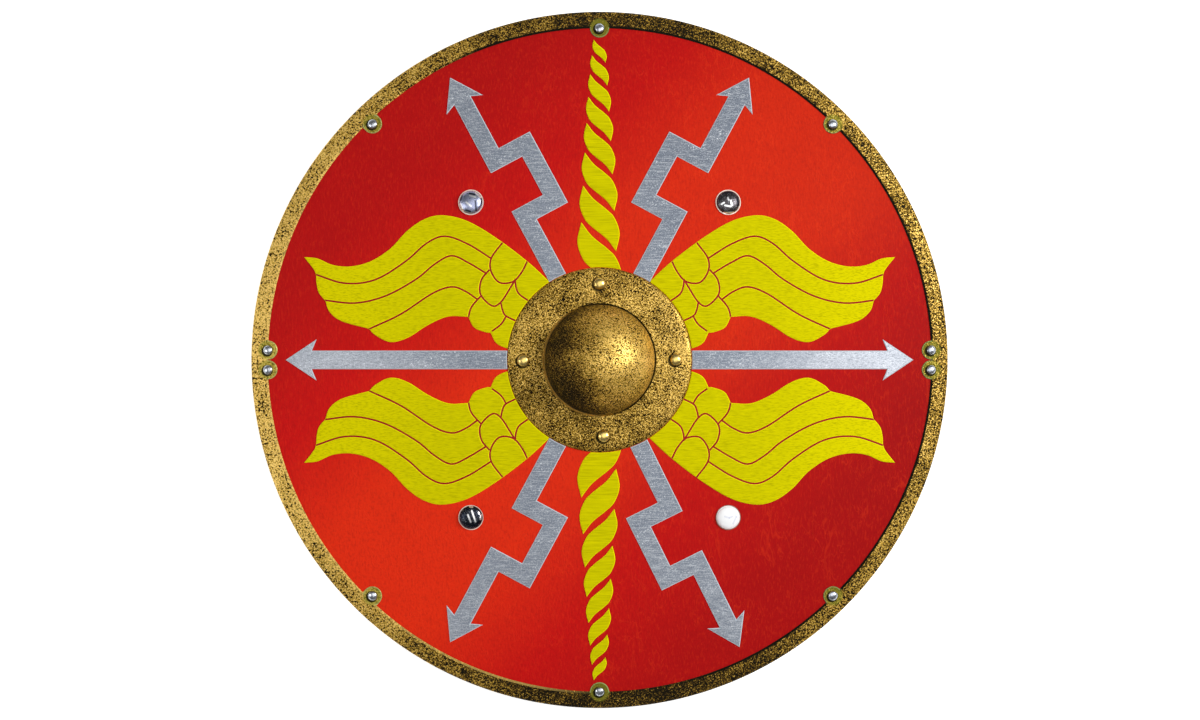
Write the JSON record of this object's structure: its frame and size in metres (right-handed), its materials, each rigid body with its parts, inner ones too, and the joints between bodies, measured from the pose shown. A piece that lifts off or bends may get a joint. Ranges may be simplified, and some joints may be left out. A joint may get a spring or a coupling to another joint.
{
  "type": "round shield",
  "caption": "Round Roman cavalry shield, dished wooden board faced in red leather, with bronze edge binding, domed bronze boss, winged thunderbolt of sheet metal, hand grip and arm straps",
  "frame": {"origin": "centre of the surface that the shield lies on, under the middle of the boss", "axes": "+Z out of the face, +Y to the upper edge of the ornament, +X to its right as seen from the front"},
  "size_m": [0.8, 0.8, 0.1286],
  "materials": {
    "board_wood": "oiled, worn",
    "grip_wood": "handled, satin",
    "red_leather": "dyed, creased, satin",
    "strap_leather": "vegetable tanned, stitched",
    "rim_bronze": "pitted bronze, aged",
    "boss_bronze": "stippled bronze, aged",
    "rivet_brass": "polished",
    "rivet_steel": "polished",
    "bolt_steel": "brushed",
    "yellow_plate": "yellow paint over brushed sheet"
  },
  "bodies": {
    "root": {"board": "board_wood", "leather_face": "red_leather", "rim_binding": "rim_bronze", "boss": "boss_bronze", "hand_grip": "grip_wood", "arm_strap_left": "strap_leather", "arm_strap_right": "strap_leather", "boss_rivet_top": "rivet_brass", "boss_rivet_left": "rivet_brass", "boss_rivet_bottom": "rivet_brass", "boss_rivet_right": "rivet_brass", "rim_rivet_1": "rivet_steel", "rim_rivet_2": "rivet_steel", "rim_rivet_3": "rivet_steel", "rim_rivet_4": "rivet_steel", "rim_rivet_5": "rivet_steel", "rim_rivet_6": "rivet_steel", "rim_rivet_7": "rivet_steel", "rim_rivet_8": "rivet_steel", "rim_rivet_9": "rivet_steel", "rim_rivet_10": "rivet_steel", "strap_rivet_upper_left": "rivet_steel", "strap_rivet_upper_right": "rivet_steel", "strap_rivet_lower_left": "rivet_steel", "strap_rivet_lower_right": "rivet_steel", "bolt_upper_left": "bolt_steel", "bolt_upper_right": "bolt_steel", "bolt_lower_left": "bolt_steel", "bolt_lower_right": "bolt_steel", "arrow_left": "bolt_steel", "arrow_right": "bolt_steel", "wing_upper_left": "yellow_plate", "wing_upper_right": "yellow_plate", "wing_lower_left": "yellow_plate", "wing_lower_right": "yellow_plate", "leaf_upper_1": "yellow_plate", "leaf_upper_2": "yellow_plate", "leaf_upper_3": "yellow_plate", "leaf_upper_4": "yellow_plate", "leaf_upper_5": "yellow_plate", "leaf_upper_6": "yellow_plate", "leaf_upper_7": "yellow_plate", "leaf_upper_8": "yellow_plate", "leaf_lower_1": "yellow_plate", "leaf_lower_2": "yellow_plate", "leaf_lower_3": "yellow_plate", "leaf_lower_4": "yellow_plate", "leaf_lower_5": "yellow_plate", "leaf_lower_6": "yellow_plate", "leaf_lower_7": "yellow_plate", "leaf_lower_8": "yellow_plate"}
  },
  "joints": []
}
